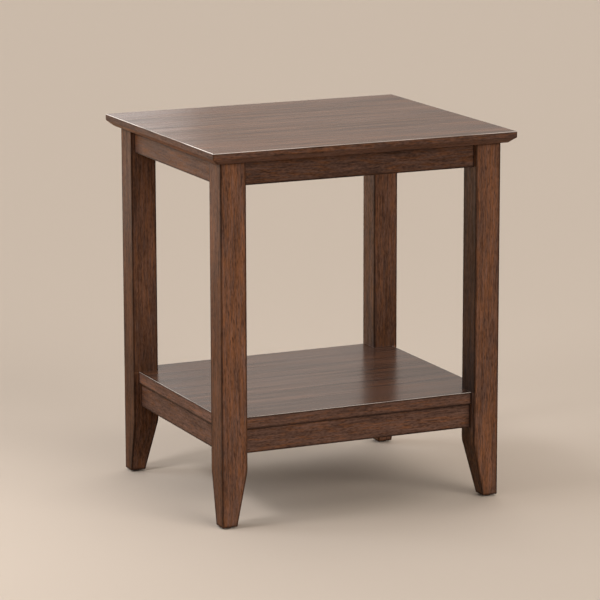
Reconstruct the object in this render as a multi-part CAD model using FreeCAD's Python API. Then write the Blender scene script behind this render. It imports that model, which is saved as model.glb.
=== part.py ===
# End table with a lower shelf, in wood. A thin top, bevelled under its edge, sits on four square legs
# that taper at the foot. Four aprons join the legs under the top, and four rails join them under the
# shelf. The bars are dowelled to the legs, and a block bolted through each corner pulls leg and bars
# together and holds the top or the shelf down.
# Millimetres. +X runs to the right along the front, +Y to the back, +Z up. The origin is on the floor
# under the middle of the top.
import FreeCAD, Part
import math
import os

Vector = FreeCAD.Vector
ORIGIN = Vector(0, 0, 0)
RIGHT = Vector(1, 0, 0)
BACK = Vector(0, 1, 0)
UP = Vector(0, 0, 1)
DIAGONAL = Vector(math.sqrt(0.5), math.sqrt(0.5), 0)

# The whole table
WIDTH = 533.0
DEPTH = 460.0
HEIGHT = 610.0

# The top
TOP_THICKNESS = 19.0
TOP_EDGE_BAND = 10.0  # upright part of the edge, with the bevel under it
TOP_BEVEL_RUN = 10.5  # how far in the bevel runs
TOP_CORNER_RADIUS = 2.0  # seen from above
TOP_OVERHANG = 20.0  # past the legs' outer faces

# The legs
LEG_WIDTH = 44.0
LEG_CORNER_RADIUS = 1.0
FOOT_WIDTH = 26.0
FOOT_BEVEL = 1.5
TAPER_START = 92.0  # height where the two inner faces begin to taper

# The aprons under the top
APRON_HEIGHT = 39.0
APRON_THICKNESS = 19.0
APRON_SETBACK = 7.0  # behind the legs' outer faces

# The shelf and the rails under it
SHELF_HEIGHT = 178.0  # upper face
SHELF_THICKNESS = 20.0
SHELF_SETBACK = 9.0
SHELF_CLEARANCE = 0.5  # round each leg
RAIL_HEIGHT = 40.0
RAIL_THICKNESS = 19.0
RAIL_SETBACK = 13.0

# Long edges of the top, the shelf and the bars
ARRIS_RADIUS = 1.0

# Dowels, two at each end of each bar, half in the bar and half in the leg
DOWEL_DIAMETER = 8.0
DOWEL_CHAMFER = 1.0
DOWEL_RELIEF = 1.0  # room for glue past each end
DOWEL_WALL = 2.5  # wood between the dowels that cross in a leg

# Corner blocks, set across each corner behind the leg
BLOCK_THICKNESS = 20.0
BLOCK_INSET = 8.0  # lower face above the bars' lower edges
BLOCK_GAP = 1.0  # in front of the leg, so that the bolt can draw it tight

# Hanger bolts, one through each block into the leg's inner corner
BOLT_DIAMETER = 6.0
BOLT_IN_LEG = 28.0
BOLT_FREE_END = 5.0  # past the nut
BOLT_WALL = 3.0  # wood between the bolt and the dowels above and below it
BOLT_CLEARANCE = 0.3  # in the block
BOLT_PITCH = 1.0
BOLT_WOOD_PITCH = 2.5
THREAD_DEPTH = 0.5
WASHER_DIAMETER = 16.0
WASHER_THICKNESS = 1.5
NUT_WIDTH = 10.0  # across the flats
NUT_THICKNESS = 5.0

# Countersunk screws
SCREW_DIAMETER = 4.0
SCREW_HEAD_DIAMETER = 8.0
SCREW_POCKET_DIAMETER = 9.5  # flat-bottomed pocket in the block's slanting face
SCREW_TOE = 10.0  # from the block's sharp end
SCREW_SEAT = 6.0  # wood left under the pocket
SCREW_SPREAD = 16.0  # from the bolt to the screws that go up into the top or the shelf
PANEL_COVER = 7.0  # wood left above a screw in the top or the shelf
BAR_COVER = 4.0  # wood left past a screw in a bar
RECESS_LENGTH = 4.4
RECESS_WIDTH = 0.9
RECESS_DEPTH = 1.4

# Tack glides, one under each foot
GLIDE_THICKNESS = 2.5
GLIDE_INSET = 3.5  # inside the foot's flat
GLIDE_EDGE = 0.8
NAIL_DIAMETER = 2.2
NAIL_HEAD_DIAMETER = 6.0
NAIL_HEAD_THICKNESS = 1.0
NAIL_RECESS = 0.5  # head above the floor
NAIL_LENGTH = 15.0

FIT = 0.05  # round glued dowels, and round screws, bolts and nails in their pilot holes
TOLERANCE = 0.01  # for telling which edges lie on a face

# What follows from them
LEGS_X = WIDTH / 2 - TOP_OVERHANG  # the legs' outer faces
LEGS_Y = DEPTH / 2 - TOP_OVERHANG
TOP_UNDERSIDE = HEIGHT - TOP_THICKNESS
SHELF_UNDERSIDE = SHELF_HEIGHT - SHELF_THICKNESS
DOWEL_RADIUS = DOWEL_DIAMETER / 2
DOWEL_DEPTH = LEG_WIDTH - RAIL_SETBACK - RAIL_THICKNESS / 2 - DOWEL_RADIUS - DOWEL_WALL
BOLT_RADIUS = BOLT_DIAMETER / 2
DOWEL_OFFSET = BOLT_RADIUS + BOLT_WALL + DOWEL_RADIUS  # above and below the bolt
SCREW_RADIUS = SCREW_DIAMETER / 2
SCREW_HEAD_RADIUS = SCREW_HEAD_DIAMETER / 2
GLIDE_RADIUS = FOOT_WIDTH / 2 - FOOT_BEVEL - GLIDE_INSET
NAIL_RADIUS = NAIL_DIAMETER / 2
NAIL_HEAD_RADIUS = NAIL_HEAD_DIAMETER / 2

CORNERS = ("front_left", "front_right", "back_left", "back_right")


class Level:
    """Four bars between the legs at one height, under a panel: the aprons, or the shelf's rails."""

    def __init__(self, top, height, thickness, setback, panel_thickness):
        self.top = top
        self.bottom = top - height
        self.middle = top - height / 2
        self.thickness = thickness
        self.setback = setback
        self.panel_thickness = panel_thickness
        self.inner = setback + thickness
        self.block_bottom = self.bottom + BLOCK_INSET
        self.leg_corner = (LEG_WIDTH - self.inner) * math.sqrt(2)
        self.block_near = self.leg_corner + BLOCK_GAP
        self.block_far = self.block_near + BLOCK_THICKNESS

    def point(self, along_x, along_y, z):
        """A point measured from where the inner faces of the front and left bars would meet."""
        return Vector(-LEGS_X + self.inner + along_x, -LEGS_Y + self.inner + along_y, z)

    def diagonal_point(self, distance, z):
        """A point on the line from that corner through the leg's inner corner to the middle."""
        return self.point(0, 0, z) + DIAGONAL * distance


UPPER = Level(TOP_UNDERSIDE, APRON_HEIGHT, APRON_THICKNESS, APRON_SETBACK, TOP_THICKNESS)
LOWER = Level(SHELF_UNDERSIDE, RAIL_HEIGHT, RAIL_THICKNESS, RAIL_SETBACK, SHELF_THICKNESS)


def rectangle(x0, x1, y0, y1, z, radius):
    """A level rectangle with rounded corners, as a closed wire."""
    centres = (
        (x1 - radius, y1 - radius),
        (x0 + radius, y1 - radius),
        (x0 + radius, y0 + radius),
        (x1 - radius, y0 + radius),
    )
    arcs = []
    for quarter, (x, y) in enumerate(centres):
        arcs.append(Part.makeCircle(radius, Vector(x, y, z), UP, 90 * quarter, 90 * (quarter + 1)))
    edges = []
    for arc, following in zip(arcs, arcs[1:] + arcs[:1]):
        edges.append(arc)
        edges.append(Part.makeLine(arc.Vertexes[-1].Point, following.Vertexes[0].Point))
    return Part.Wire(edges)


def upright(outline, z):
    """The level outline carried straight up to a height."""
    return Part.Face(outline).extrude(UP * (z - outline.BoundBox.ZMin))


def tapered(lower, upper):
    """A solid between two level outlines."""
    return Part.makeLoft([lower, upper], True, True)


def turned(outline):
    """A solid turned about Z, from (radius, height) points that start and end on the axis."""
    points = [Vector(radius, 0, z) for radius, z in outline]
    return Part.Face(Part.makePolygon(points + points[:1])).revolve(ORIGIN, UP, 360)


def put(shape, place, direction):
    """A shape that was made along +Z from the origin, moved to a place and turned to a direction."""
    moved = shape.copy()
    moved.Placement = FreeCAD.Placement(place, FreeCAD.Rotation(UP, direction))
    return moved


def at_corner(shape, corner):
    """The front left corner's shape, mirrored to a corner."""
    if "right" in corner:
        shape = shape.mirror(ORIGIN, RIGHT)
    if "back" in corner:
        shape = shape.mirror(ORIGIN, BACK)
    return shape


def at_all_corners(shapes):
    return [at_corner(shape, corner) for corner in CORNERS for shape in shapes]


def eased(shape, chosen):
    """The shape with the chosen edges rounded over."""
    return shape.makeFillet(ARRIS_RADIUS, [edge for edge in shape.Edges if chosen(edge.BoundBox)])


def save(name, shapes):
    solids = [solid for shape in shapes for solid in shape.Solids]
    Part.makeCompound(solids).exportStep("parts/" + name + ".step")


def make_top():
    half_x = WIDTH / 2
    half_y = DEPTH / 2
    band_bottom = HEIGHT - TOP_EDGE_BAND
    edge = rectangle(-half_x, half_x, -half_y, half_y, band_bottom, TOP_CORNER_RADIUS)
    flat_x = half_x - TOP_BEVEL_RUN
    flat_y = half_y - TOP_BEVEL_RUN
    flat = rectangle(-flat_x, flat_x, -flat_y, flat_y, TOP_UNDERSIDE, TOP_CORNER_RADIUS)
    band = eased(upright(edge, HEIGHT), lambda box: box.ZMin > HEIGHT - TOLERANCE)
    return band.fuse(tapered(flat, edge)).removeSplitter()


def make_leg():
    """The front left leg. Its outer faces are plumb."""

    def square(inset, width, z):
        x = -LEGS_X + inset
        y = -LEGS_Y + inset
        return rectangle(x, x + width, y, y + width, z, LEG_CORNER_RADIUS)

    sole = square(FOOT_BEVEL, FOOT_WIDTH - 2 * FOOT_BEVEL, GLIDE_THICKNESS)
    foot = square(0, FOOT_WIDTH, GLIDE_THICKNESS + FOOT_BEVEL)
    post = square(0, LEG_WIDTH, TAPER_START)
    return tapered(sole, foot).fuse([tapered(foot, post), upright(post, TOP_UNDERSIDE)]).removeSplitter()


def make_side_bar(level, half_length, outer_face):
    """A bar that runs along X in front of the middle, its outer face at -outer_face."""
    bar = Part.makeBox(
        2 * half_length,
        level.thickness,
        level.top - level.bottom,
        Vector(-half_length, -outer_face, level.bottom),
    )
    return eased(bar, lambda box: box.ZMax < level.bottom + TOLERANCE and box.XLength > half_length)


def make_bars(level):
    """The four bars, by side. Each ends on the legs' inner faces."""
    front = make_side_bar(level, LEGS_X - LEG_WIDTH, LEGS_Y - level.setback)
    side = make_side_bar(level, LEGS_Y - LEG_WIDTH, LEGS_X - level.setback)
    left = side.rotated(ORIGIN, UP, -90)
    return {
        "front": front,
        "back": front.mirror(ORIGIN, BACK),
        "left": left,
        "right": left.mirror(ORIGIN, RIGHT),
    }


def make_shelf():
    """The shelf, notched at its corners round the legs."""
    half_x = LEGS_X - SHELF_SETBACK
    half_y = LEGS_Y - SHELF_SETBACK
    panel = Part.makeBox(2 * half_x, 2 * half_y, SHELF_THICKNESS, Vector(-half_x, -half_y, SHELF_UNDERSIDE))
    panel = eased(panel, lambda box: box.ZLength < TOLERANCE)
    notch = LEG_WIDTH + SHELF_CLEARANCE
    cutter = Part.makeBox(notch, notch, SHELF_THICKNESS, Vector(-LEGS_X, -LEGS_Y, SHELF_UNDERSIDE))
    return panel.cut(at_all_corners([cutter]))


def dowel_places(level):
    """Where the front and left bars' dowels cross the leg's inner faces, with their directions."""
    centre = level.setback + level.thickness / 2
    places = []
    for z in (level.middle - DOWEL_OFFSET, level.middle + DOWEL_OFFSET):
        places.append((Vector(-LEGS_X + LEG_WIDTH, -LEGS_Y + centre, z), RIGHT))
        places.append((Vector(-LEGS_X + centre, -LEGS_Y + LEG_WIDTH, z), BACK))
    return places


def make_dowels(level):
    end_radius = DOWEL_RADIUS - DOWEL_CHAMFER
    shoulder = DOWEL_DEPTH - DOWEL_CHAMFER
    dowel = turned([
        (0, -DOWEL_DEPTH),
        (end_radius, -DOWEL_DEPTH),
        (DOWEL_RADIUS, -shoulder),
        (DOWEL_RADIUS, shoulder),
        (end_radius, DOWEL_DEPTH),
        (0, DOWEL_DEPTH),
    ])
    return [put(dowel, place, direction) for place, direction in dowel_places(level)]


def make_dowel_holes(level):
    depth = DOWEL_DEPTH + DOWEL_RELIEF
    hole = Part.makeCylinder(DOWEL_RADIUS + FIT, 2 * depth, Vector(0, 0, -depth))
    return [put(hole, place, direction) for place, direction in dowel_places(level)]


def make_block(level):
    """A block across the corner, with mitred ends flat against the two bars."""
    near = level.block_near * math.sqrt(2)
    far = level.block_far * math.sqrt(2)
    plan = ((near, 0), (far, 0), (0, far), (0, near))
    corners = [level.point(along_x, along_y, level.block_bottom) for along_x, along_y in plan]
    return Part.Face(Part.makePolygon(corners + corners[:1])).extrude(UP * (level.top - level.block_bottom))


def rings(start, end, pitch):
    """Outline points of a thread, as rings between two heights."""
    count = round((end - start) / pitch)
    step = (end - start) / count
    points = []
    for ring in range(count):
        points.append((BOLT_RADIUS - THREAD_DEPTH, start + ring * step))
        points.append((BOLT_RADIUS, start + (ring + 0.5) * step))
    return points


def make_bolt(level):
    """A hanger bolt: a wood thread in the leg and a machine thread through the block for the nut."""
    root_radius = BOLT_RADIUS - THREAD_DEPTH
    tip = level.leg_corner - BOLT_IN_LEG
    thread_start = level.block_far - BOLT_RADIUS
    end = level.block_far + WASHER_THICKNESS + NUT_THICKNESS + BOLT_FREE_END
    outline = [(0, tip - BOLT_RADIUS)]
    outline += rings(tip, level.leg_corner, BOLT_WOOD_PITCH)
    outline += [(root_radius, level.leg_corner), (BOLT_RADIUS, level.leg_corner + THREAD_DEPTH)]
    outline += [(BOLT_RADIUS, thread_start - THREAD_DEPTH)]
    outline += rings(thread_start, end, BOLT_PITCH)
    outline += [(root_radius, end), (0, end)]
    return put(turned(outline), level.diagonal_point(0, level.middle), DIAGONAL)


def make_bolt_hole(level, clearance):
    """The bolt's hole, from past its tip in the leg to past the block."""
    start = level.leg_corner - BOLT_IN_LEG - BOLT_RADIUS - DOWEL_RELIEF
    length = level.block_far + WASHER_THICKNESS - start
    return Part.makeCylinder(
        BOLT_RADIUS + clearance, length, level.diagonal_point(start, level.middle), DIAGONAL
    )


def make_washer(level):
    disc = Part.makeCylinder(WASHER_DIAMETER / 2, WASHER_THICKNESS)
    hole = Part.makeCylinder(BOLT_RADIUS + BOLT_CLEARANCE, WASHER_THICKNESS)
    return put(disc.cut(hole), level.diagonal_point(level.block_far, level.middle), DIAGONAL)


def make_nut(level):
    """A hexagon nut with its corners turned off at both ends."""
    corner_radius = NUT_WIDTH / math.sqrt(3)
    corners = []
    for side in range(6):
        angle = math.radians(60 * side)
        corners.append(Vector(corner_radius * math.cos(angle), corner_radius * math.sin(angle), 0))
    hexagon = Part.Face(Part.makePolygon(corners + corners[:1])).extrude(UP * NUT_THICKNESS)
    turned_off = corner_radius - NUT_WIDTH / 2
    barrel = turned([
        (0, 0),
        (NUT_WIDTH / 2, 0),
        (corner_radius, turned_off),
        (corner_radius, NUT_THICKNESS - turned_off),
        (NUT_WIDTH / 2, NUT_THICKNESS),
        (0, NUT_THICKNESS),
    ])
    hole = Part.makeCylinder(BOLT_RADIUS + FIT, NUT_THICKNESS)
    nut = hexagon.common(barrel).cut(hole)
    return put(nut, level.diagonal_point(level.block_far + WASHER_THICKNESS, level.middle), DIAGONAL)


def make_screw(length):
    """A countersunk wood screw along +Z, its head's face at the origin, with a cross recess."""
    body = turned(screw_outline(length, 0))
    slot_corner = Vector(-RECESS_LENGTH / 2, -RECESS_WIDTH / 2, 0)
    slot = Part.makeBox(RECESS_LENGTH, RECESS_WIDTH, RECESS_DEPTH, slot_corner)
    return body.cut([slot, slot.rotated(ORIGIN, UP, 90)])


def screw_outline(length, margin):
    radius = SCREW_RADIUS + margin
    head_radius = SCREW_HEAD_RADIUS + margin
    return [
        (0, 0),
        (head_radius, 0),
        (radius, SCREW_HEAD_RADIUS - SCREW_RADIUS),
        (radius, length - SCREW_DIAMETER),
        (0, length + margin),
    ]


def panel_screw_length(level):
    return level.top - level.block_bottom + level.panel_thickness - PANEL_COVER


def panel_screw_places(level):
    """Either side of the bolt, on the middle line of the block's lower face."""
    middle = level.diagonal_point((level.block_near + level.block_far) / 2, level.block_bottom)
    across = Vector(DIAGONAL.x, -DIAGONAL.y, 0) * SCREW_SPREAD
    return [middle - across, middle + across]


def bar_screw_length(level):
    return SCREW_SEAT + level.thickness - BAR_COVER


def bar_screw_places(level):
    """Near the block's two sharp ends, with their directions into the front and the left bar."""
    along = level.block_far * math.sqrt(2) - SCREW_TOE
    return [
        (level.point(along, SCREW_SEAT, level.middle), -BACK),
        (level.point(SCREW_SEAT, along, level.middle), -RIGHT),
    ]


def make_panel_screws(level):
    screw = make_screw(panel_screw_length(level))
    return [put(screw, place, UP) for place in panel_screw_places(level)]


def make_bar_screws(level):
    screw = make_screw(bar_screw_length(level))
    return [put(screw, place, direction) for place, direction in bar_screw_places(level)]


def make_screw_holes(level):
    """Holes for the panel screws and the bar screws, with the bar screws' pockets."""
    panel_hole = turned(screw_outline(panel_screw_length(level), FIT))
    holes = [put(panel_hole, place, UP) for place in panel_screw_places(level)]
    bar_hole = turned(screw_outline(bar_screw_length(level), FIT))
    pocket = Part.makeCylinder(SCREW_POCKET_DIAMETER / 2, SCREW_TOE, Vector(0, 0, -SCREW_TOE))
    for place, direction in bar_screw_places(level):
        holes.append(put(bar_hole, place, direction))
        holes.append(put(pocket, place, direction))
    return holes


def glide_place():
    return Vector(-LEGS_X + FOOT_WIDTH / 2, -LEGS_Y + FOOT_WIDTH / 2, 0)


def make_glide():
    """A plastic disc with a rounded lower edge and a sunk hole for its nail."""
    disc = turned([
        (0, 0),
        (GLIDE_RADIUS - GLIDE_EDGE, 0),
        (GLIDE_RADIUS, GLIDE_EDGE),
        (GLIDE_RADIUS, GLIDE_THICKNESS),
        (0, GLIDE_THICKNESS),
    ])
    sunk = Part.makeCylinder(NAIL_HEAD_RADIUS + FIT, NAIL_RECESS + NAIL_HEAD_THICKNESS)
    hole = Part.makeCylinder(NAIL_RADIUS + FIT, GLIDE_THICKNESS)
    return put(disc.cut([sunk, hole]), glide_place(), UP)


def make_nail(margin):
    """A glide's nail, or the hole for it where there is a margin."""
    radius = NAIL_RADIUS + margin
    head_top = NAIL_RECESS + NAIL_HEAD_THICKNESS
    nail = turned([
        (0, NAIL_RECESS),
        (NAIL_HEAD_RADIUS, NAIL_RECESS),
        (NAIL_HEAD_RADIUS, head_top),
        (radius, head_top),
        (radius, NAIL_LENGTH - NAIL_DIAMETER),
        (0, NAIL_LENGTH + margin),
    ])
    return put(nail, glide_place(), UP)


os.makedirs("parts", exist_ok=True)

upper_holes = at_all_corners(make_dowel_holes(UPPER) + make_screw_holes(UPPER))
lower_holes = at_all_corners(make_dowel_holes(LOWER) + make_screw_holes(LOWER))

save("table_top", [make_top().cut(upper_holes)])
save("shelf", [make_shelf().cut(lower_holes)])

leg_holes = make_dowel_holes(UPPER) + make_dowel_holes(LOWER)
leg_holes += [make_bolt_hole(UPPER, FIT), make_bolt_hole(LOWER, FIT), make_nail(FIT)]
leg = make_leg().cut(leg_holes)
for corner in CORNERS:
    save(corner + "_leg", [at_corner(leg, corner)])

for side, bar in make_bars(UPPER).items():
    save(side + "_apron", [bar.cut(upper_holes)])
for side, bar in make_bars(LOWER).items():
    save(side + "_rail", [bar.cut(lower_holes)])

for name, level in (("upper", UPPER), ("lower", LOWER)):
    block = make_block(level).cut(make_screw_holes(level) + [make_bolt_hole(level, BOLT_CLEARANCE)])
    for corner in CORNERS:
        save(name + "_" + corner + "_block", [at_corner(block, corner)])
    save(name + "_dowels", at_all_corners(make_dowels(level)))
    save(name + "_hanger_bolts", at_all_corners([make_bolt(level)]))
    save(name + "_washers", at_all_corners([make_washer(level)]))
    save(name + "_nuts", at_all_corners([make_nut(level)]))
    save(name + "_block_screws", at_all_corners(make_bar_screws(level)))
save("top_screws", at_all_corners(make_panel_screws(UPPER)))
save("shelf_screws", at_all_corners(make_panel_screws(LOWER)))

save("foot_glides", at_all_corners([make_glide()]))
save("glide_nails", at_all_corners([make_nail(0)]))
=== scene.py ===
# The finish of an end table with a lower shelf, worked in metres. +X runs to the right along the front,
# +Y to the back and +Z up, from the floor under the middle of the top.
import bpy
import bmesh
import math
from mathutils import Euler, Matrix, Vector


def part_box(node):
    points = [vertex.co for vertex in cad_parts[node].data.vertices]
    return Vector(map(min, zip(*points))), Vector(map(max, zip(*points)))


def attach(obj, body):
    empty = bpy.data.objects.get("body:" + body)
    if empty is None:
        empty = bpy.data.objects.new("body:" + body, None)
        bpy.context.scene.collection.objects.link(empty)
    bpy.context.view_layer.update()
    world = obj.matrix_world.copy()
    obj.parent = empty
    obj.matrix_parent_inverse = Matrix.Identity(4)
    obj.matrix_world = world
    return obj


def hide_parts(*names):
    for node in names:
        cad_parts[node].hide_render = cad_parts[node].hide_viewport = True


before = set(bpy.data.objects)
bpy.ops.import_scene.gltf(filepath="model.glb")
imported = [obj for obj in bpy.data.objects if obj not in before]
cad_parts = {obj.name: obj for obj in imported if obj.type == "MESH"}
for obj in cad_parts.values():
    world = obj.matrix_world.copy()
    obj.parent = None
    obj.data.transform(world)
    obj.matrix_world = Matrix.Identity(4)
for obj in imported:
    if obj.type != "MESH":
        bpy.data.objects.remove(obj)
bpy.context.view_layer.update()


# Legs.
# Four square posts of straight-grained hardwood, stained dark brown and lacquered to a satin sheen. Below
# the shelf the two inner faces taper to the foot. One leg is shaped at the front left and mirrored to the
# other corners.
TAPER_START = 0.092
FOOT_WIDTH = 0.026
FOOT_BEVEL = 0.0015
BEND_REACH = 0.006  # above and below the start of the taper
BEND_CUTS = 5
LEG_EDGE_RADIUS = 0.001
EDGE_STRIPS = 3  # flat strips that round an edge
SHARP_EDGE = 40  # degrees, past which an edge is rounded
EDGE_BORDER = 0.0030  # how far wear, the painted highlight and the darker edge line reach in from an edge
CORNER_PIECE = 0.0025  # sides of a border that are shorter than this make one square corner
FLAT_FACING = 0.974  # about 13 degrees from level or plumb
SAME_PLACE = 0.00002  # two places this near are taken as one
WELD_GAP = 0.00005  # points nearer than this are merged

leg_low, leg_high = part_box("front_left_leg")


def start_block(name, low, high):
    """A block of wood between two corners, in edit mode, with nothing else selected."""
    bpy.ops.object.select_all(action="DESELECT")
    low = Vector(low)
    high = Vector(high)
    bpy.ops.mesh.primitive_cube_add(size=1, location=(low + high) / 2, scale=high - low)
    block = bpy.context.object
    block.name = name
    bpy.ops.object.transform_apply(location=True, rotation=True, scale=True)
    bpy.ops.object.mode_set(mode="EDIT")
    return block


def choose(kind, wanted, within=False):
    """Selects the points, edges or faces that are wanted, of all or within those that are selected."""
    bpy.ops.mesh.select_mode(type=kind)
    mesh = bmesh.from_edit_mesh(bpy.context.edit_object.data)
    parts = {"VERT": mesh.verts, "EDGE": mesh.edges, "FACE": mesh.faces}[kind]
    chosen = [part for part in parts if wanted(part) and (part.select or not within)]
    bpy.ops.mesh.select_all(action="DESELECT")
    for part in chosen:
        part.select_set(True)
    mesh.select_flush_mode()
    bmesh.update_edit_mesh(bpy.context.edit_object.data)


def near(a, b):
    return abs(a - b) < SAME_PLACE


def lies_at(edge, axis, value):
    """True for an edge that lies at one value along an axis."""
    return all(near(point.co[axis], value) for point in edge.verts)


def cut_across(axis, value):
    """Cuts every face where it crosses a plane at one value along an axis."""
    plane = Vector((0, 0, 0))
    plane[axis] = 1
    bpy.ops.mesh.select_all(action="SELECT")
    bpy.ops.mesh.bisect(plane_co=plane * value, plane_no=plane)


def round_chosen(radius):
    bpy.ops.mesh.bevel(
        offset=radius,
        offset_type="OFFSET",
        segments=EDGE_STRIPS,
        profile=0.5,
        affect="EDGES",
    )


def round_outer_edges(radius, sharpness=SHARP_EDGE):
    """Rounds every edge that stands out by more than so many degrees, and leaves inner corners square."""
    choose("EDGE", lambda edge: edge.is_convex and edge.calc_face_angle() > math.radians(sharpness))
    round_chosen(radius)
    bpy.ops.mesh.select_all(action="SELECT")
    bpy.ops.mesh.remove_doubles(threshold=WELD_GAP)


def is_flat(face):
    """True for a face that is nearly level or plumb, so not for the strips of a rounded edge."""
    return max(abs(part) for part in face.normal) > FLAT_FACING


def border(is_flat_face=is_flat, reach=EDGE_BORDER):
    """Cuts a border inside each flat, and marks what lies within it, so that a finish knows the edges."""
    choose("FACE", is_flat_face)
    bpy.ops.mesh.inset(thickness=reach, depth=0)
    mesh = bmesh.from_edit_mesh(bpy.context.edit_object.data)
    numbers = mesh.verts.layers.float
    flat_share = numbers.get("flat_share") or numbers.new("flat_share")
    for point in mesh.verts:
        if point.select:
            point[flat_share] = 1.0
    choose("EDGE", lambda edge: edge.calc_length() < CORNER_PIECE, within=True)
    bpy.ops.mesh.merge(type="COLLAPSE")


def finish_edit():
    bpy.ops.object.mode_set(mode="OBJECT")


def alone(piece):
    bpy.ops.object.select_all(action="DESELECT")
    piece.select_set(True)
    bpy.context.view_layer.objects.active = piece


def mirrored(piece, name, flip):
    """A copy with its own mesh on the other side of the table."""
    alone(piece)
    bpy.ops.object.duplicate()
    copy = bpy.context.object
    copy.name = name
    copy.scale = flip
    bpy.ops.object.transform_apply(location=True, rotation=True, scale=True)
    bpy.ops.object.mode_set(mode="EDIT")
    bpy.ops.mesh.select_all(action="SELECT")
    bpy.ops.mesh.normals_make_consistent(inside=False)
    finish_edit()
    return copy


def narrowing(z, width):
    """How far an inner face has come in at a height, with a soft bend where the taper starts."""
    slope = (width - FOOT_WIDTH) / (TAPER_START - leg_low.z)
    into_bend = TAPER_START + BEND_REACH - z
    if into_bend < 2 * BEND_REACH:
        return slope * into_bend ** 2 / (4 * BEND_REACH)
    return slope * (TAPER_START - z)


def shade(piece):
    """Smooth shading that runs round the edges and leaves the flats dead flat."""
    alone(piece)
    bpy.ops.object.shade_smooth()
    bpy.ops.object.modifier_add(type="WEIGHTED_NORMAL")
    bpy.ops.object.modifier_apply(modifier=piece.modifiers[-1].name)


STAIN_WARM = (0.153, 0.0570, 0.0205)
STAIN_GREY = (0.112, 0.0600, 0.0440)
PORE_BROWN = (0.028, 0.0150, 0.0110)
# Pale colour laid on the upper edges, partly wear and partly a painted highlight.
WEAR_AND_HIGHLIGHT_PALE = (0.950, 0.840, 0.770)
PLAIN = (1.0, 1.0, 1.0)

GRAIN_TURN = {"X": (0, 0, 0), "Y": (0, 0, -90), "Z": (0, 90, 0)}
GRAIN_AXIS = {"X": (1, 0, 0), "Y": (0, 1, 0), "Z": (0, 0, 1)}
PLANK_LENGTH = 0.71  # from the figure of one plank to that of the next, along the grain
PLANK_WIDTH = 0.23  # and across it

FIGURE_RANGE = (0.36, 0.64)  # between which most values of the mixed figure lie
PATCH_RANGE = (0.35, 0.65)  # and those of one plain noise
BAND_SHARE = 0.28  # of broad bands in the figure
FLUSH_SHARE = 0.7  # of small flushes in the grey, the rest being broad patches
PATCH_DEPTH = 0.08  # how much darker or lighter a broad patch is
PORE_SHARE = 0.6  # of pore brown in a pore
END_GRAIN_TONE = 0.6
GLOSS_DRIFT = 0.04  # how far the roughness follows the figure

SHELF_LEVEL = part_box("shelf")[1].z
# How far up the painted shade on a leg's inner faces reaches.
PAINTED_SHADE_REACH = 0.16  # above the shelf


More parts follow.
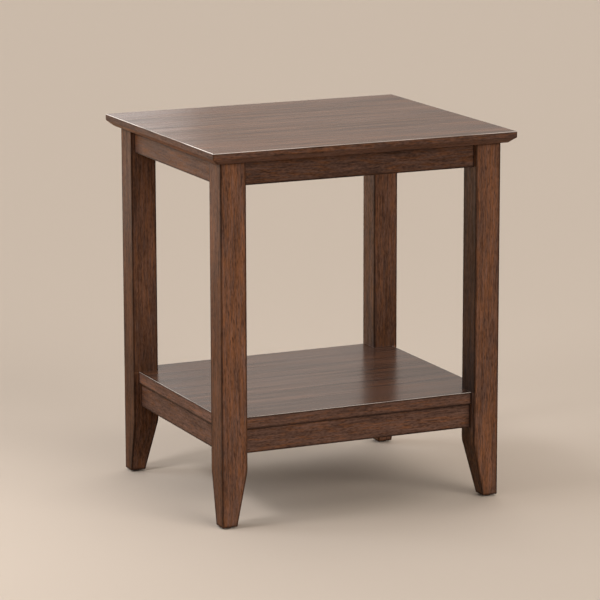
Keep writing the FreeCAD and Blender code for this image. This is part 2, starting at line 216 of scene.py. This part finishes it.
class Finish:
    """A material in the making, with short calls for its nodes."""

    def __init__(self, name):
        self.material = bpy.data.materials.new(name)
        self.material.use_nodes = True
        self.nodes = self.material.node_tree.nodes
        self.links = self.material.node_tree.links
        self.shader = self.nodes["Principled BSDF"]

    def give(self, socket, value):
        """Links a socket to another node's output, or sets it to a plain value."""
        if isinstance(value, bpy.types.NodeSocket):
            self.links.new(value, socket)
        else:
            socket.default_value = value

    def place(self, turn=(0, 0, 0), shift=(0, 0, 0)):
        """The point on the object, turned so that the grain runs along X, then moved."""
        source = self.nodes.new("ShaderNodeTexCoord")
        mapping = self.nodes.new("ShaderNodeMapping")
        mapping.inputs["Rotation"].default_value = [math.radians(angle) for angle in turn]
        mapping.inputs["Location"].default_value = shift
        self.links.new(source.outputs["Object"], mapping.inputs["Vector"])
        return mapping.outputs["Vector"]

    def vector(self, operation, a, b):
        node = self.nodes.new("ShaderNodeVectorMath")
        node.operation = operation
        self.give(node.inputs[0], a)
        self.give(node.inputs[1], b)
        return node.outputs["Value" if operation == "DOT_PRODUCT" else "Vector"]

    def maths(self, operation, *values):
        node = self.nodes.new("ShaderNodeMath")
        node.operation = operation
        for socket, value in zip(node.inputs, values):
            self.give(socket, value)
        return node.outputs["Value"]

    def noise(self, place, length, width, detail=2.0, output="Fac"):
        """Noise whose features are about so long along the grain and so wide across it."""
        node = self.nodes.new("ShaderNodeTexNoise")
        node.inputs["Scale"].default_value = 1.0
        node.inputs["Detail"].default_value = detail
        stretched = self.vector("MULTIPLY", place, (1 / length, 1 / width, 1 / width))
        self.links.new(stretched, node.inputs["Vector"])
        return node.outputs[output]

    def spread(self, value, low, high, start=0.0, end=1.0):
        """Start where the value is low, end where it is high, and evenly between."""
        node = self.nodes.new("ShaderNodeMapRange")
        names = ("Value", "From Min", "From Max", "To Min", "To Max")
        for name, number in zip(names, (value, low, high, start, end)):
            self.give(node.inputs[name], number)
        return node.outputs["Result"]

    def blend(self, share, a, b):
        """Colour a, going over to colour b by the share."""
        node = self.nodes.new("ShaderNodeMix")
        node.data_type = "RGBA"
        self.give(node.inputs["Factor"], share)
        colours = [socket for socket in node.inputs if socket.type == "RGBA"]
        for socket, colour in zip(colours, (a, b)):
            self.give(socket, colour if isinstance(colour, bpy.types.NodeSocket) else (*colour, 1.0))
        return next(socket for socket in node.outputs if socket.type == "RGBA")

    def scaled(self, colour, factor):
        """The colour, made darker or lighter by a factor."""
        node = self.nodes.new("ShaderNodeVectorMath")
        node.operation = "SCALE"
        self.links.new(colour, node.inputs[0])
        self.give(node.inputs["Scale"], factor)
        return node.outputs["Vector"]

    def strayed(self, straight, wander, distance):
        """The point, moved across the grain by up to about half the distance, as the noise wanders."""
        off_line = self.vector("SUBTRACT", wander, (0.5, 0.5, 0.5))
        drift = self.vector("MULTIPLY", off_line, (0, distance, distance))
        return self.vector("ADD", straight, drift)

    def painted_shade_above_shelf(self, normal, darkest):
        """A factor of painted shade that darkens a leg's inner faces towards the shelf."""
        here = self.place()
        height = self.vector("DOT_PRODUCT", here, (0, 0, 1))
        sideways = self.vector("MULTIPLY", here, (1, 1, 0))
        outward = self.vector("DOT_PRODUCT", normal, sideways)
        shade = self.spread(height, SHELF_LEVEL, SHELF_LEVEL + PAINTED_SHADE_REACH, start=darkest, end=1.0)
        shade = self.maths("MAXIMUM", shade, self.maths("LESS_THAN", height, SHELF_LEVEL))
        return self.maths("MAXIMUM", shade, self.spread(outward, low=-0.10, high=0.05))

    def relief(self, height, distance):
        node = self.nodes.new("ShaderNodeBump")
        node.inputs["Distance"].default_value = distance
        self.links.new(height, node.inputs["Height"])
        self.links.new(node.outputs["Normal"], self.shader.inputs["Normal"])


def stained_wood(
    name,
    grain,
    tone=1.0,
    contrast=0.42,
    grey=0.5,
    flush=1.0,
    fleck=0.35,
    size=(1.0, 1.0, 1.0),
    wander=0.010,
    wear_and_highlight=0.05,
    edge_line=0.40,
    sheen=0.07,
    satin=0.36,
    relief=0.0002,
    painted_shelf_shade=1.0,
    painted_side_sheen=PLAIN,
    plank=0,
):
    """Dark brown stain under satin lacquer. The grain runs along X, Y or Z.

    The size scales the figure along the grain and across it both ways, and wander is how far it strays from
    a straight line. Grey is the share of grey stain, and flush is how far that share varies. Fleck is the
    share of short marks. Wear and highlight is how pale the upper edges are made, partly real wear and
    partly a painted highlight on the arris, and edge line is how dark the colour is made along every edge.
    Sheen is how much light the lacquer throws back, and satin is how far it blurs it. Painted shelf shade
    is how dark a leg's inner faces are painted at the shelf, as painted shade, painted side sheen is a
    painted sheen on its faces that look left and right, and each number of plank has a figure of its own.
    """
    finish = Finish(name)
    straight = finish.place(GRAIN_TURN[grain], (PLANK_LENGTH * plank, PLANK_WIDTH * plank, 0))
    stray = finish.noise(straight, length=0.60, width=0.15, detail=1.0, output="Color")
    place = finish.vector("DIVIDE", finish.strayed(straight, stray, wander), size)
    bands = finish.noise(place, length=0.14, width=0.011)
    streaks = finish.noise(place, length=0.040, width=0.0028)
    flecks = finish.noise(place, length=0.006, width=0.0021, detail=1.0)
    pores = finish.noise(place, length=0.011, width=0.0014, detail=1.0)
    patches = finish.noise(place, length=0.11, width=0.017, detail=1.0)
    flushes = finish.noise(place, length=0.022, width=0.0027, detail=1.0)

    figure = finish.maths("MULTIPLY", bands, BAND_SHARE)
    figure = finish.maths("MULTIPLY_ADD", streaks, 1 - BAND_SHARE - fleck, figure)
    figure = finish.maths("MULTIPLY_ADD", flecks, fleck, figure)
    broad_grey = finish.maths("MULTIPLY", patches, 1 - FLUSH_SHARE)
    greyness = finish.maths("MULTIPLY_ADD", flushes, FLUSH_SHARE, broad_grey)
    grey_share = finish.spread(greyness, *FIGURE_RANGE, start=grey - flush / 2, end=grey + flush / 2)
    colour = finish.blend(grey_share, STAIN_WARM, STAIN_GREY)
    depth = finish.spread(figure, *FIGURE_RANGE, start=(1 - contrast) * tone, end=(1 + contrast) * tone)
    colour = finish.scaled(colour, depth)
    patch_tone = finish.spread(patches, *PATCH_RANGE, start=1 + PATCH_DEPTH, end=1 - PATCH_DEPTH)
    colour = finish.scaled(colour, patch_tone)
    pore_share = finish.spread(pores, low=0.60, high=0.68, end=PORE_SHARE)
    colour = finish.blend(pore_share, colour, PORE_BROWN)

    source = finish.nodes.new("ShaderNodeTexCoord")
    normal = source.outputs["Normal"]
    along = finish.vector("DOT_PRODUCT", normal, GRAIN_AXIS[grain])
    end_grain = finish.maths("ABSOLUTE", along)
    end_tone = finish.spread(end_grain, low=0.6, high=0.95, start=1.0, end=END_GRAIN_TONE)
    colour = finish.scaled(colour, end_tone)

    # On a leg, painted shade darkens the inner faces towards the shelf, and a painted sheen is laid on the
    # faces that look left and right.
    if painted_shelf_shade < 1:
        colour = finish.scaled(colour, finish.painted_shade_above_shelf(normal, painted_shelf_shade))
        sideways = finish.maths("ABSOLUTE", finish.vector("DOT_PRODUCT", normal, (1, 0, 0)))
        tint = finish.blend(finish.spread(sideways, low=0.6, high=0.9), PLAIN, painted_side_sheen)
        colour = finish.vector("MULTIPLY", colour, tint)

    flat = finish.nodes.new("ShaderNodeAttribute")
    flat.attribute_name = "flat_share"
    edge = finish.maths("SUBTRACT", 1.0, flat.outputs["Fac"])
    colour = finish.scaled(colour, finish.spread(edge, low=0.1, high=0.8, start=1.0, end=edge_line))
    # The upper edges go pale, partly as wear and partly as a painted highlight on the arris.
    upward = finish.vector("DOT_PRODUCT", normal, (0, 0, 1))
    wear_and_highlight_share = finish.maths("MULTIPLY", edge, finish.spread(patches, low=0.35, high=0.55, start=0.87))
    wear_and_highlight_share = finish.maths("MULTIPLY", wear_and_highlight_share, finish.spread(upward, low=0.1, high=0.4))
    colour = finish.blend(finish.spread(wear_and_highlight_share, low=0.80, high=1.0, end=wear_and_highlight), colour, WEAR_AND_HIGHLIGHT_PALE)

    finish.links.new(colour, finish.shader.inputs["Base Color"])
    roughness = finish.spread(figure, *FIGURE_RANGE, start=satin + GLOSS_DRIFT, end=satin - GLOSS_DRIFT)
    finish.give(finish.shader.inputs["Roughness"], roughness)
    finish.shader.inputs["Specular IOR Level"].default_value = sheen
    height = finish.maths("MULTIPLY_ADD", pore_share, -1.0, figure)
    finish.relief(height, relief)
    return finish.material


def stain(piece, node, finish):
    """Gives a stained piece its finish and puts it in place of its node."""
    shade(piece)
    piece.data.materials.clear()
    piece.data.materials.append(finish)
    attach(piece, "root")
    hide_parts(node)


leg = start_block("stained_front_left_leg", leg_low, leg_high)
bend_step = 2 * BEND_REACH / (BEND_CUTS - 1)
levels = [TAPER_START - BEND_REACH + bend_step * cut for cut in range(BEND_CUTS)]
for z in levels:
    cut_across(2, z)
for z in [leg_low.z] + levels:
    for axis in (0, 1):
        choose("VERT", lambda point: near(point.co.z, z) and near(point.co[axis], leg_high[axis]))
        move = Vector((0, 0, 0))
        move[axis] = -narrowing(z, leg_high[axis] - leg_low[axis])
        bpy.ops.transform.translate(value=move)
choose("EDGE", lambda edge: lies_at(edge, 2, leg_low.z))
round_chosen(FOOT_BEVEL)
round_outer_edges(LEG_EDGE_RADIUS)
border()
finish_edit()
legs = {
    "front_left": leg,
    "front_right": mirrored(leg, "stained_front_right_leg", (-1, 1, 1)),
    "back_left": mirrored(leg, "stained_back_left_leg", (1, -1, 1)),
    "back_right": mirrored(leg, "stained_back_right_leg", (-1, -1, 1)),
}

LEG_FIGURE = (1.25, 1.5, 1.0)  # longer, and broader on the faces that look left and right
# The back legs are toned darker than the front ones, a painted shade under the table. Each leg also has
# painted shade on its inner faces at the shelf and a painted sheen on its faces that look left and right.
LEG_STAIN_LIGHT_AND_SHADE = {
    "front_left": dict(tone=1.19, contrast=0.44, painted_shelf_shade=0.6, painted_side_sheen=(1.00, 0.98, 0.95)),
    "front_right": dict(tone=1.10, contrast=0.44, painted_shelf_shade=0.3, painted_side_sheen=(1.35, 1.58, 1.80), plank=1),
    "back_left": dict(tone=0.99, contrast=0.52, painted_shelf_shade=0.5, painted_side_sheen=(1.00, 0.97, 0.93)),
    "back_right": dict(tone=1.06, contrast=0.52, painted_shelf_shade=0.6, painted_side_sheen=(1.75, 2.00, 2.15)),
}
for corner, piece in legs.items():
    node = corner + "_leg"
    leg_finish = stained_wood(
        node + "_finish",
        "Z",
        grey=0.65,
        flush=0.65,
        fleck=0.30,
        size=LEG_FIGURE,
        **LEG_STAIN_LIGHT_AND_SHADE[corner],
    )
    stain(piece, node, leg_finish)


# Aprons.
# Four bars of the same stained wood that join the legs under the top. Each is dowelled and glued between
# two legs, a little behind their outer faces, and its edges are rounded over.
BAR_EDGE_RADIUS = 0.0008
# The front and back aprons are toned much darker, a painted shade under the overhang of the top.
APRON_STAIN_AND_SHADE = {
    "X": dict(tone=0.68, contrast=0.52, grey=0.9),
    "Y": dict(tone=1.05, contrast=0.34, grey=0.7),
}


def make_bar(node):
    bar = start_block("stained_" + node, *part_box(node))
    round_outer_edges(BAR_EDGE_RADIUS)
    border()
    finish_edit()
    return bar


def make_bars(kind, tones):
    """The four bars at one level. The back one mirrors the front one, and the right one the left one."""
    bars = {}
    for side, other_side, flip in (("front", "back", (1, -1, 1)), ("left", "right", (-1, 1, 1))):
        bars[side] = make_bar(side + "_" + kind)
        bars[other_side] = mirrored(bars[side], "stained_" + other_side + "_" + kind, flip)
    for side, bar in bars.items():
        grain = "X" if side in ("front", "back") else "Y"
        node = side + "_" + kind
        stain(bar, node, stained_wood(node + "_finish", grain, **tones[grain]))


make_bars("apron", APRON_STAIN_AND_SHADE)


# Lower rails.
# Four bars under the shelf, made and fixed as the aprons are, set further back than the shelf's edge.
# They are toned lighter than the aprons, and the left and right ones lighter still, as painted light.
# The left and right rails are toned much lighter than the front and back ones, as painted light.
RAIL_STAIN_AND_LIGHT = {
    "X": dict(tone=0.96, contrast=0.50, grey=0.9),
    "Y": dict(tone=1.40, contrast=0.46, grey=1.0),
}

make_bars("rail", RAIL_STAIN_AND_LIGHT)


# Shelf.
# A flat panel in the same finish, notched round the four legs. It lies on the rails and is screwed down
# from the corner blocks below. Its edges are lipped, so that their grain runs along them.
SHELF_CLEARANCE = 0.0005  # round each leg
SHELF_EDGE_RADIUS = 0.0008
# The left and right lips are toned much lighter, a painted light where the daylight falls.
SHELF_LIP_PAINTED_LIGHT = {"X": 0.99, "Y": 1.80}
SIDE_FACING = 0.9  # a face that looks left or right has this much of its normal that way
MIDDLE_REACH = 0.01  # a face between the notches has its centre within this of the middle
SAME_PLANE = 1  # degrees, within which two faces are one


def lip(piece, finish, is_strip):
    """Gives the faces of an edge strip their own finish, whose grain runs along the strip."""
    piece.data.materials.append(finish)
    alone(piece)
    bpy.ops.object.mode_set(mode="EDIT")
    choose("FACE", is_strip)
    piece.active_material_index = len(piece.data.materials) - 1
    bpy.ops.object.material_slot_assign()
    finish_edit()


def between_notches(face, side):
    """True for the face between the notches that looks to one side."""
    return face.normal.x * side > SIDE_FACING and abs(face.calc_center_median().y) < MIDDLE_REACH


shelf_low, shelf_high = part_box("shelf")
notch_x = leg_high.x + SHELF_CLEARANCE
notch_y = leg_high.y + SHELF_CLEARANCE
middle_low = (notch_x, shelf_low.y, shelf_low.z)
middle_high = (-notch_x, shelf_high.y, shelf_high.z)
shelf = start_block("stained_shelf", middle_low, middle_high)
cut_across(1, notch_y)
cut_across(1, -notch_y)
for side in (-1, 1):
    choose("FACE", lambda face: between_notches(face, side))
    reach = (side * (shelf_high.x + notch_x), 0, 0)
    bpy.ops.mesh.extrude_region_move(TRANSFORM_OT_translate={"value": reach})
bpy.ops.mesh.select_all(action="SELECT")
bpy.ops.mesh.dissolve_limited(angle_limit=math.radians(SAME_PLANE))
round_outer_edges(SHELF_EDGE_RADIUS)
border()
finish_edit()
shelf_finish = stained_wood(
    "shelf_finish",
    "X",
    tone=0.75,
    contrast=0.65,
    grey=0.7,
    flush=0.7,
    fleck=0.08,
    size=(4.2, 1.5, 1.5),
    wander=0.003,
    wear_and_highlight=0.40,
    sheen=0.70,
    satin=0.24,
    relief=0.00001,
)
stain(shelf, "shelf", shelf_finish)
# The lips get pale upper arrises, partly wear and partly a painted highlight, and their own tone, which on
# the left and right is painted light.
for axis, grain in ((0, "Y"), (1, "X")):
    outer = shelf_high[axis] - SHELF_EDGE_RADIUS
    lip_painted_light = SHELF_LIP_PAINTED_LIGHT[grain]
    lip_finish = stained_wood("shelf_strip_" + grain, grain, tone=lip_painted_light, grey=1.0, wear_and_highlight=0.60)
    lip(shelf, lip_finish, lambda face: abs(face.calc_center_median()[axis]) > outer)


# Top.
# One panel in the same finish. Its edge is an upright band with a bevel cut under it, and its corners are
# rounded a little. It is screwed down from the upper corner blocks. Its upper edges are pale, partly worn
# and partly a painted highlight, palest at left and right, and its bevels are toned lighter as painted
# light from below, the left and right ones most.
TOP_EDGE_BAND = 0.010
TOP_BEVEL_RUN = 0.0105
TOP_CORNER_RADIUS = 0.002
TOP_EDGE_RADIUS = 0.0012
TOP_SHARP_EDGE = 60  # degrees, past which an edge is the top's own and not the bevel's
BAND_EDGE_RADIUS = 0.0005
BAND_BORDER = 0.0016
FLAT_AREA = 0.0008  # a smaller face is a strip of a rounded edge
# How pale the band's upper edges are, partly wear and partly a painted highlight, most at left and right.
BAND_WEAR_AND_HIGHLIGHT = {"X": 0.56, "Y": 1.0}
# The downward bevels are toned lighter as painted light from below, the left and right ones most.
BEVEL_PAINTED_LIGHT = {"X": 1.25, "Y": 2.40}


def is_upright(face):
    return abs(face.normal.z) < 0.5


def is_big(face):
    return face.calc_area() > FLAT_AREA


def is_band(face, axis):
    """True for the band across an axis with its rounded edges, apart from the upright corners."""
    return abs(face.normal[axis]) > 0.2 and abs(face.normal[1 - axis]) < 0.6


def is_bevel(face, axis):
    return abs(face.normal[axis]) > 0.5 and -0.9 < face.normal.z < -0.4


top_low, top_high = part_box("table_top")
top = start_block("stained_table_top", top_low, top_high)
cut_across(2, top_high.z - TOP_EDGE_BAND)
for axis in (0, 1):
    for side in (-1, 1):
        edge = side * top_high[axis]
        choose("VERT", lambda point: near(point.co.z, top_low.z) and near(point.co[axis], edge))
        run = Vector((0, 0, 0))
        run[axis] = -side * TOP_BEVEL_RUN
        bpy.ops.transform.translate(value=run)
choose("EDGE", lambda edge: not near(edge.verts[0].co.z, edge.verts[1].co.z))
round_chosen(TOP_CORNER_RADIUS)
round_outer_edges(TOP_EDGE_RADIUS, TOP_SHARP_EDGE)
round_outer_edges(BAND_EDGE_RADIUS)
border(lambda face: is_big(face) and not is_upright(face))
border(lambda face: is_big(face) and is_upright(face), BAND_BORDER)
finish_edit()
top_finish = stained_wood(
    "table_top_finish",
    "X",
    tone=0.95,
    contrast=0.62,
    grey=0.5,
    flush=0.7,
    fleck=0.08,
    size=(4.6, 1.7, 1.7),
    wander=0.003,
    wear_and_highlight=0.40,
    sheen=0.5,
    satin=0.26,
    relief=0.00001,
)
stain(top, "table_top", top_finish)
for axis, grain in ((0, "Y"), (1, "X")):
    band_finish = stained_wood(
        "top_band_" + grain,
        grain,
        tone=0.85,
        contrast=0.60,
        grey=0.8,
        wear_and_highlight=BAND_WEAR_AND_HIGHLIGHT[grain],
        edge_line=0.8,
        plank=2,
    )
    lip(top, band_finish, lambda face: is_band(face, axis))
    # The bevel's tone is painted light: it lightens the bevel as if lit from below.
    bevel_painted_light = BEVEL_PAINTED_LIGHT[grain]
    bevel_finish = stained_wood("top_bevel_" + grain, grain, tone=bevel_painted_light, grey=1.0, edge_line=0.8)
    lip(top, bevel_finish, lambda face: is_bevel(face, axis))


# Corner blocks.
# Eight blocks of pale planed hardwood, unstained, one across each corner under the top and under the shelf.
# Their mitred ends lie flat on the bars, and their grain runs from bar to bar.
BLOCK_PALE = (0.56, 0.40, 0.23)
BLOCK_BROWN = (0.38, 0.24, 0.12)
BLOCK_RING = 0.0035  # from one growth ring to the next
BLOCK_SMOOTH = 0.56
WAVE_LENGTH = 0.314  # of the rings of a wave texture at scale 1
HEART = (0, 0.11, 0.07)  # from the log's heart to the floor under the middle of the top
RING_WANDER = 0.012
FIBRE_SHARE = 0.6  # of fine fibres in the figure, the rest being rings
FIBRE_DRIFT = 0.12  # how much rougher the darkest fibres are


def bare_wood(name, turn, pale, brown, ring, smooth):
    """Planed wood with growth rings round a heart that lies outside the piece, its grain turned to X."""
    finish = Finish(name)
    straight = finish.place(turn, HEART)
    wander = finish.noise(straight, length=0.15, width=0.03, output="Color")
    place = finish.strayed(straight, wander, RING_WANDER)
    rings = finish.nodes.new("ShaderNodeTexWave")
    rings.wave_type = "RINGS"
    rings.rings_direction = "X"
    rings.inputs["Scale"].default_value = WAVE_LENGTH / ring
    finish.links.new(place, rings.inputs["Vector"])
    fibres = finish.noise(place, length=0.018, width=0.0009)
    ring_figure = finish.maths("MULTIPLY", rings.outputs["Fac"], 1 - FIBRE_SHARE)
    figure = finish.maths("MULTIPLY_ADD", fibres, FIBRE_SHARE, ring_figure)
    colour = finish.blend(finish.spread(figure, low=0.25, high=0.75), pale, brown)
    tones = finish.noise(straight, length=0.05, width=0.03)
    colour = finish.scaled(colour, finish.spread(tones, *PATCH_RANGE, start=0.85, end=1.08))
    finish.links.new(colour, finish.shader.inputs["Base Color"])
    roughness = finish.spread(figure, low=0.3, high=0.7, start=smooth, end=smooth + FIBRE_DRIFT)
    finish.give(finish.shader.inputs["Roughness"], roughness)
    finish.shader.inputs["Specular IOR Level"].default_value = 0.3
    finish.relief(fibres, 0.0002)
    return finish.material


def dress(node, finish):
    """Gives a node that keeps its own shape its finish."""
    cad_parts[node].material_slots[0].material = finish


for corner in legs:
    slant = 45 if corner in ("front_left", "back_right") else -45
    name = corner + "_block_finish"
    block_finish = bare_wood(name, (0, 0, slant), BLOCK_PALE, BLOCK_BROWN, BLOCK_RING, BLOCK_SMOOTH)
    dress("upper_" + corner + "_block", block_finish)
    dress("lower_" + corner + "_block", block_finish)


# Dowels.
# Thirty-two beech pins, two glued into each bar end and the leg beside it. Only their ends would show with
# the table apart.
BEECH_PALE = (0.60, 0.40, 0.25)
BEECH_BROWN = (0.44, 0.26, 0.15)
BEECH_RING = 0.0022
BEECH_SMOOTH = 0.49

beech = bare_wood("beech_finish", (0, 0, 0), BEECH_PALE, BEECH_BROWN, BEECH_RING, BEECH_SMOOTH)
dress("upper_dowels", beech)
dress("lower_dowels", beech)


# Bolts, screws and nails.
# Zinc-plated steel: hanger bolts with washers and nuts that draw the blocks to the legs, countersunk screws
# through the blocks into bars and panels, and the nails of the glides.
ZINC_BLUE = (0.56, 0.59, 0.62)
ZINC_YELLOW = (0.66, 0.62, 0.53)
ZINC_DULL = (0.36, 0.36, 0.35)

zinc = Finish("zinc_finish")
zinc_place = zinc.place()
spangle = zinc.noise(zinc_place, length=0.004, width=0.004, detail=3.0)
smears = zinc.noise(zinc_place, length=0.012, width=0.008)
zinc_colour = zinc.blend(zinc.spread(spangle, *PATCH_RANGE), ZINC_BLUE, ZINC_YELLOW)
zinc_colour = zinc.blend(zinc.spread(smears, low=0.52, high=0.70, end=0.7), zinc_colour, ZINC_DULL)
zinc.links.new(zinc_colour, zinc.shader.inputs["Base Color"])
zinc.shader.inputs["Metallic"].default_value = 1.0
zinc.give(zinc.shader.inputs["Roughness"], zinc.spread(smears, low=0.35, high=0.70, start=0.28, end=0.48))
zinc.relief(zinc.noise(zinc_place, length=0.0012, width=0.0012), 0.00005)
for level in ("upper", "lower"):
    for fastener in ("hanger_bolts", "washers", "nuts", "block_screws"):
        dress(level + "_" + fastener, zinc.material)
for node in ("top_screws", "shelf_screws", "glide_nails"):
    dress(node, zinc.material)


# Foot glides.
# Four discs of dark brown nylon, one nailed under each foot, scuffed where they slide on the floor.
NYLON_BROWN = (0.040, 0.031, 0.026)
NYLON_SCUFF = (0.16, 0.14, 0.12)
SOLE = (0.0002, 0.0010)  # from where the glide is scuffed all over to where it isn't

nylon = Finish("nylon_finish")
nylon_place = nylon.place()
scuffs = nylon.noise(nylon_place, length=0.009, width=0.0007)
mottle = nylon.noise(nylon_place, length=0.003, width=0.003)
height = nylon.nodes.new("ShaderNodeSeparateXYZ")
nylon.links.new(nylon_place, height.inputs["Vector"])
underside = nylon.spread(height.outputs["Z"], *SOLE, start=1.0, end=0.0)
scuffed = nylon.maths("MULTIPLY", nylon.spread(scuffs, low=0.55, high=0.68), underside)
nylon_colour = nylon.blend(scuffed, NYLON_BROWN, NYLON_SCUFF)
nylon_colour = nylon.scaled(nylon_colour, nylon.spread(mottle, low=0.3, high=0.7, start=0.8, end=1.2))
nylon.links.new(nylon_colour, nylon.shader.inputs["Base Color"])
nylon.give(nylon.shader.inputs["Roughness"], nylon.spread(mottle, low=0.3, high=0.7, start=0.42, end=0.58))
nylon.relief(mottle, 0.00008)
dress("foot_glides", nylon.material)


# Floor.
# A plain pale floor that carries the table's shadow. It throws back and reflects the light of a darker,
# warm rug. From below it isn't seen, so the underside shows.
FLOOR_COLOUR = (0.66, 0.562, 0.478)
BOUNCE_COLOUR = (0.38, 0.29, 0.20)
FLOOR_SIZE = 60

bpy.ops.object.select_all(action="DESELECT")
bpy.ops.mesh.primitive_plane_add(size=FLOOR_SIZE, location=(0, 0, 0))
floor = bpy.context.object
floor.name = "floor"
floor_finish = Finish("pale_floor")
path = floor_finish.nodes.new("ShaderNodeLightPath")
floor_colour = floor_finish.blend(path.outputs["Is Camera Ray"], BOUNCE_COLOUR, FLOOR_COLOUR)
floor_finish.links.new(floor_colour, floor_finish.shader.inputs["Base Color"])
floor_finish.shader.inputs["Roughness"].default_value = 0.9
floor_finish.shader.inputs["Specular IOR Level"].default_value = 0.1
facing = floor_finish.nodes.new("ShaderNodeNewGeometry")
clear = floor_finish.nodes.new("ShaderNodeBsdfTransparent")
one_sided = floor_finish.nodes.new("ShaderNodeMixShader")
floor_finish.links.new(facing.outputs["Backfacing"], one_sided.inputs["Fac"])
floor_finish.links.new(floor_finish.shader.outputs["BSDF"], one_sided.inputs[1])
floor_finish.links.new(clear.outputs["BSDF"], one_sided.inputs[2])
floor_finish.links.new(one_sided.outputs["Shader"], floor_finish.nodes["Material Output"].inputs["Surface"])
floor.data.materials.append(floor_finish.material)


# Light.
# A pale room, with cool daylight from the left and below and warm light in front, behind and above. A lamp
# is close on the left. The front light, the back light and the lamp don't show in gloss. A pale card, a
# bright patch of floor and a glow on the wall show in gloss alone.
ROOM_COLOUR = (0.59, 0.52, 0.465)
ROOM_LIGHT = 0.12
ROOM_SEEN = 0.84
DAYLIGHT = (0.94, 1.0, 1.07)
WARM_LIGHT = (1.04, 1.0, 0.94)
WHITE_LIGHT = (1.0, 1.0, 1.0)
PATCH_COLOUR = (1.08, 0.90, 0.76)
GLOW_COLOUR = (1.15, 0.97, 0.88)


def seen_directly(nodes, links):
    """One for the camera and for what shows in gloss and glass, and nought for plain light."""
    path = nodes.new("ShaderNodeLightPath")
    seen = path.outputs["Is Camera Ray"]
    for ray in ("Is Glossy Ray", "Is Transmission Ray"):
        either = nodes.new("ShaderNodeMath")
        either.operation = "MAXIMUM"
        links.new(seen, either.inputs[0])
        links.new(path.outputs[ray], either.inputs[1])
        seen = either.outputs["Value"]
    return seen


world = bpy.data.worlds.new("pale_room")
bpy.context.scene.world = world
world.use_nodes = True
room = world.node_tree
background = room.nodes["Background"]
strength = room.nodes.new("ShaderNodeMapRange")
strength.inputs["To Min"].default_value = ROOM_LIGHT
strength.inputs["To Max"].default_value = ROOM_SEEN
room.links.new(seen_directly(room.nodes, room.links), strength.inputs["Value"])
room.links.new(strength.outputs["Result"], background.inputs["Strength"])
background.inputs["Color"].default_value = (*ROOM_COLOUR, 1.0)


def soft_sun(name, direction, softness, level, colour, in_gloss=True):
    """A broad light from far off. At level 1 it lights white paper that faces it fully white."""
    lamp = bpy.data.lights.new(name, "SUN")
    lamp.angle = math.radians(softness)
    lamp.energy = math.pi * level
    lamp.color = colour
    stand = bpy.data.objects.new(name, lamp)
    stand.rotation_euler = Vector(direction).to_track_quat("Z", "Y").to_euler()
    stand.visible_glossy = in_gloss
    bpy.context.scene.collection.objects.link(stand)


def softbox(name, place, aim, size, energy, colour, shape="ELLIPSE"):
    """A lit panel that the camera doesn't see."""
    lamp = bpy.data.lights.new(name, "AREA")
    lamp.shape = shape
    lamp.size, lamp.size_y = size
    lamp.energy = energy
    lamp.color = colour
    stand = bpy.data.objects.new(name, lamp)
    stand.location = place
    stand.rotation_euler = (Vector(place) - Vector(aim)).to_track_quat("Z", "Y").to_euler()
    stand.visible_camera = False
    bpy.context.scene.collection.objects.link(stand)
    return stand


soft_sun("left_light", (-0.70, 0.40, 0.50), softness=28, level=0.20, colour=DAYLIGHT)
soft_sun("front_light", (0.30, -0.90, 0.28), softness=50, level=0.74, colour=WARM_LIGHT, in_gloss=False)
soft_sun("back_light", (0.45, 0.80, 0.35), softness=80, level=0.30, colour=WARM_LIGHT, in_gloss=False)
soft_sun("over_light", (0.10, 0.20, 1.0), softness=100, level=0.36, colour=WARM_LIGHT)
soft_sun("low_light", (-0.50, 0.20, -0.85), softness=60, level=0.65, colour=DAYLIGHT)

left_lamp = softbox(
    "left_lamp",
    place=(-1.1, -0.15, 1.1),
    aim=(-0.2, -0.1, 0.4),
    size=(0.25, 0.25),
    energy=6,
    colour=WHITE_LIGHT,
    shape="RECTANGLE",
)
left_lamp.visible_glossy = False
card = softbox(
    "pale_card",
    place=(0.12, 2.2, 1.02),
    aim=(0.12, 0, 1.02),
    size=(1.2, 0.48),
    energy=1.45,
    colour=WHITE_LIGHT,
)
card.visible_diffuse = False
patch = softbox(
    "floor_patch",
    place=(-1.4, 2.9, 0.01),
    aim=(-1.4, 2.9, 1.0),
    size=(1.7, 1.8),
    energy=15,
    colour=PATCH_COLOUR,
    shape="RECTANGLE",
)
patch.visible_diffuse = False
glow = softbox(
    "wall_glow",
    place=(0.68, 1.5, 0.62),
    aim=(-0.15, -0.2, 0.178),
    size=(0.42, 0.26),
    energy=0.044,
    colour=GLOW_COLOUR,
)
glow.visible_diffuse = False


# Camera.
# A long lens at the front left, looking a little down on the table.
CAMERA_PLACE = (-2.1759, -4.7331, 1.4123)
LOOK_DOWN = 11.925  # degrees, as the next two are
LEAN = 0.123
TURN = -24.569
LENS = 192.44  # millimetres, as the sensor is
SENSOR_WIDTH = 36

bpy.ops.object.camera_add(location=CAMERA_PLACE)
camera = bpy.context.object
camera.name = "camera"
camera.rotation_euler = Euler([math.radians(angle) for angle in (90 - LOOK_DOWN, LEAN, TURN)])
camera.data.lens = LENS
camera.data.sensor_width = SENSOR_WIDTH
bpy.context.scene.camera = camera
bpy.context.scene.view_settings.view_transform = "Standard"
